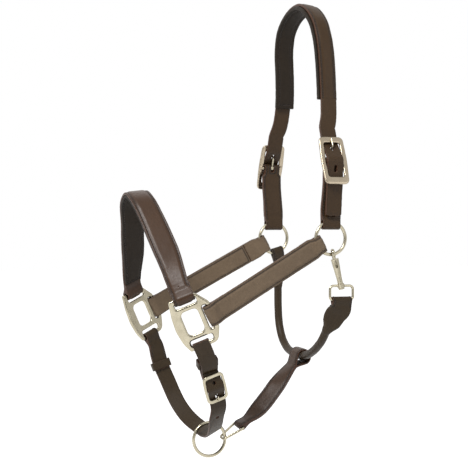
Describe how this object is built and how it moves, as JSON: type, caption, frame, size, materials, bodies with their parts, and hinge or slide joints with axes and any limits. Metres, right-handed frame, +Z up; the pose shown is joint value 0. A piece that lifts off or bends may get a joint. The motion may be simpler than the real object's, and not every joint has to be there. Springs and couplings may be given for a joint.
{
  "type": "leather headcollar",
  "caption": "Horse headcollar: padded crown strap with buckles, noseband and cheek straps on cast squares, chin strap with lead ring, rolled throat strap with trigger snap.",
  "frame": {"origin": "the poll seat, on the underside of the crown pad at the top of its arch, on the middle plane", "axes": "+Z up as worn; +X to the near (left) side; +Y to the back of the horse's head, so the nose is at -Y"},
  "size_m": [0.212, 0.2575, 0.5548],
  "materials": {
    "strap_leather": "smooth dark brown, waxed",
    "lining_leather": "soft, near black brown",
    "nickel_hardware": "satin, warm nickel colour",
    "bolt_steel": "satin",
    "spring_steel": "bright wire",
    "cord_core": "twisted cord"
  },
  "bodies": {
    "crown": {"crown_strap": "strap_leather", "crown_pad": "lining_leather", "near_crown_tab": "strap_leather", "far_crown_tab": "strap_leather", "near_crown_buckle": "nickel_hardware", "far_crown_buckle": "nickel_hardware"},
    "near_ring": {"near_cheek_ring": "nickel_hardware"},
    "far_ring": {"far_cheek_ring": "nickel_hardware"},
    "near_crown_tongue_body": {"near_crown_tongue": "nickel_hardware"},
    "far_crown_tongue_body": {"far_crown_tongue": "nickel_hardware"},
    "head": {"near_cheek_strap": "strap_leather", "far_cheek_strap": "strap_leather", "near_cheek_lining": "lining_leather", "far_cheek_lining": "lining_leather", "near_square": "nickel_hardware", "far_square": "nickel_hardware", "noseband_strap": "strap_leather", "noseband_lining": "lining_leather", "chin_strap": "strap_leather", "chin_tab": "strap_leather", "chin_buckle": "nickel_hardware", "gullet_strap": "strap_leather", "throat_strap": "strap_leather", "throat_core": "cord_core", "snap_eye": "nickel_hardware"},
    "chin_tongue_body": {"chin_tongue": "nickel_hardware"},
    "near_keeper_body": {"near_chin_keeper": "strap_leather"},
    "far_keeper_body": {"far_chin_keeper": "strap_leather"},
    "chin_ring_body": {"chin_ring": "nickel_hardware"},
    "link_body": {"gullet_link": "nickel_hardware"},
    "snap_body": {"snap_hook": "nickel_hardware", "snap_spring": "spring_steel"},
    "bolt_body": {"snap_bolt": "bolt_steel"}
  },
  "joints": [
    {"name": "head_tilt", "type": "hinge", "parent": "crown", "child": "head", "pos_m": [0, -0.0044, -0.2794], "axis": [1, 0, 0], "range_deg": [-10, 40]},
    {"name": "near_ring_turn", "type": "hinge", "parent": "crown", "child": "near_ring", "pos_m": [0.0843, -0.0044, -0.2794], "axis": [1, 0, 0], "continuous": true},
    {"name": "far_ring_turn", "type": "hinge", "parent": "crown", "child": "far_ring", "pos_m": [-0.0843, -0.0044, -0.2794], "axis": [1, 0, 0], "continuous": true},
    {"name": "near_crown_tongue_lift", "type": "hinge", "parent": "crown", "child": "near_crown_tongue_body", "pos_m": [0.09086, -0.0045, -0.18862], "axis": [0, 1, 0], "range_deg": [0, 4]},
    {"name": "far_crown_tongue_lift", "type": "hinge", "parent": "crown", "child": "far_crown_tongue_body", "pos_m": [-0.09086, -0.0045, -0.18862], "axis": [0, -1, 0], "range_deg": [0, 4]},
    {"name": "chin_tongue_lift", "type": "hinge", "parent": "head", "child": "chin_tongue_body", "pos_m": [0.08212, -0.15151, -0.44952], "axis": [-0.0278, -0.9422, -0.334], "range_deg": [0, 4]},
    {"name": "near_keeper_slide", "type": "slide", "parent": "head", "child": "near_keeper_body", "axis": [0.5092, -0.2163, 0.833], "range_m": [0, 0.002]},
    {"name": "far_keeper_slide", "type": "slide", "parent": "head", "child": "far_keeper_body", "axis": [-0.1711, -0.3087, 0.9356], "range_m": [0, 0.002]},
    {"name": "chin_ring_turn", "type": "hinge", "parent": "head", "child": "chin_ring_body", "pos_m": [0, -0.1257, -0.522], "axis": [1, 0, 0], "continuous": true},
    {"name": "link_swing", "type": "hinge", "parent": "head", "child": "link_body", "pos_m": [0, -0.086, -0.507], "axis": [-0.957, -0.1527, 0.2468], "range_deg": [-1, 4]},
    {"name": "snap_swivel", "type": "hinge", "parent": "head", "child": "snap_body", "pos_m": [0.087, -0.00184, -0.29846], "axis": [0.022, 0.2425, -0.9699], "range_deg": [-6, 6]},
    {"name": "snap_bolt_slide", "type": "slide", "parent": "snap_body", "child": "bolt_body", "axis": [0.022, 0.2425, -0.9699], "range_m": [0, 0.006], "stiffness_N_per_m": 400, "springref_m": -0.004, "deforming": ["snap_spring"]}
  ]
}
